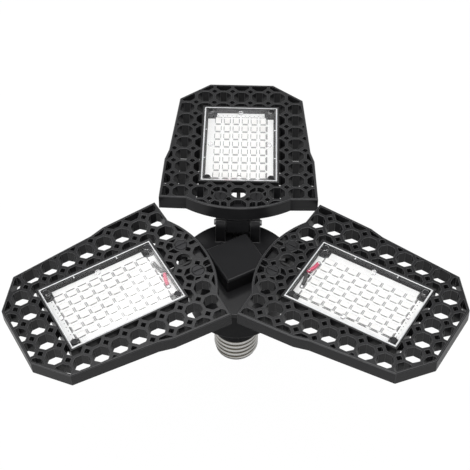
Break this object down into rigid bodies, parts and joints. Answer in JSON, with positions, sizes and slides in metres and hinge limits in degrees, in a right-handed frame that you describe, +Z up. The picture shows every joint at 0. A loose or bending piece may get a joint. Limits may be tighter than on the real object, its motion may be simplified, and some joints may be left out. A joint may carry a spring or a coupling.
{
  "type": "foldable grow light",
  "caption": "Screw-in grow light: tapered hub with hinged grille leaves that fold back, each with a windowed light board; square centre cap.",
  "frame": {"origin": "centre of the screw shell's rim, where the shell leaves the neck", "axes": "+Z up the hub's axis, away from the screw base, towards the lights; leaf 1 lies along +Y"},
  "size_m": [0.2499, 0.2257, 0.1101],
  "materials": {
    "black_plastic": "fine matte moulded",
    "board_white": "white solder resist",
    "chip_lens": "light chips",
    "clear_cover": "clear acrylic",
    "dark_screw": "blackened steel",
    "steel": "plain steel",
    "cable_black": "soft insulation",
    "cable_red": "insulation",
    "grommet_rubber": "soft bush",
    "board_green": "driver board",
    "nylon_black": "friction washer",
    "ferrite": "ferrite core",
    "capacitor_sleeve": "shrink sleeve",
    "gloss_black": "moulded",
    "cable_white": "insulation",
    "nickel_shell": "nickel plated",
    "contact_metal": "solder and brass"
  },
  "bodies": {
    "hub": {"hub_cup": "black_plastic", "hinge_plate": "black_plastic", "lead_grommets": "grommet_rubber", "centre_cap": "black_plastic", "hub_screws": "dark_screw", "driver_board": "board_green", "driver_transformer": "ferrite", "driver_capacitor": "capacitor_sleeve", "driver_inductor": "ferrite", "driver_rectifier": "gloss_black", "supply_leads": "cable_white", "screw_shell": "nickel_shell", "base_insulator": "gloss_black", "centre_contact": "contact_metal", "hinge_pin_1": "steel", "hinge_pin_2": "steel", "hinge_pin_3": "steel"},
    "leaf_1": {"leaf_frame_1": "black_plastic", "led_board_1": "board_white", "led_chips_1": "chip_lens", "window_cover_1": "clear_cover", "cover_screws_1": "dark_screw", "hinge_tongue_1": "black_plastic", "tongue_screws_1": "dark_screw", "hinge_washers_1": "nylon_black", "lamp_lead_1": "cable_black", "red_lead_1": "cable_red", "black_lead_1": "cable_black"},
    "leaf_2": {"leaf_frame_2": "black_plastic", "led_board_2": "board_white", "led_chips_2": "chip_lens", "window_cover_2": "clear_cover", "cover_screws_2": "dark_screw", "hinge_tongue_2": "black_plastic", "tongue_screws_2": "dark_screw", "hinge_washers_2": "nylon_black", "lamp_lead_2": "cable_black", "red_lead_2": "cable_red", "black_lead_2": "cable_black"},
    "leaf_3": {"leaf_frame_3": "black_plastic", "led_board_3": "board_white", "led_chips_3": "chip_lens", "window_cover_3": "clear_cover", "cover_screws_3": "dark_screw", "hinge_tongue_3": "black_plastic", "tongue_screws_3": "dark_screw", "hinge_washers_3": "nylon_black", "lamp_lead_3": "cable_black", "red_lead_3": "cable_red", "black_lead_3": "cable_black"}
  },
  "joints": [
    {"name": "leaf_1_fold", "type": "hinge", "parent": "hub", "child": "leaf_1", "pos_m": [0, 0.024, 0.0655], "axis": [-1, 0, 0], "range_deg": [-8.6, 83.4]},
    {"name": "leaf_2_fold", "type": "hinge", "parent": "hub", "child": "leaf_2", "pos_m": [-0.02079, -0.012, 0.0655], "axis": [0.5, -0.866, 0], "range_deg": [-5.3, 86.7]},
    {"name": "leaf_3_fold", "type": "hinge", "parent": "hub", "child": "leaf_3", "pos_m": [0.02079, -0.012, 0.0655], "axis": [0.5, 0.866, 0], "range_deg": [-0.6, 91.4]}
  ]
}
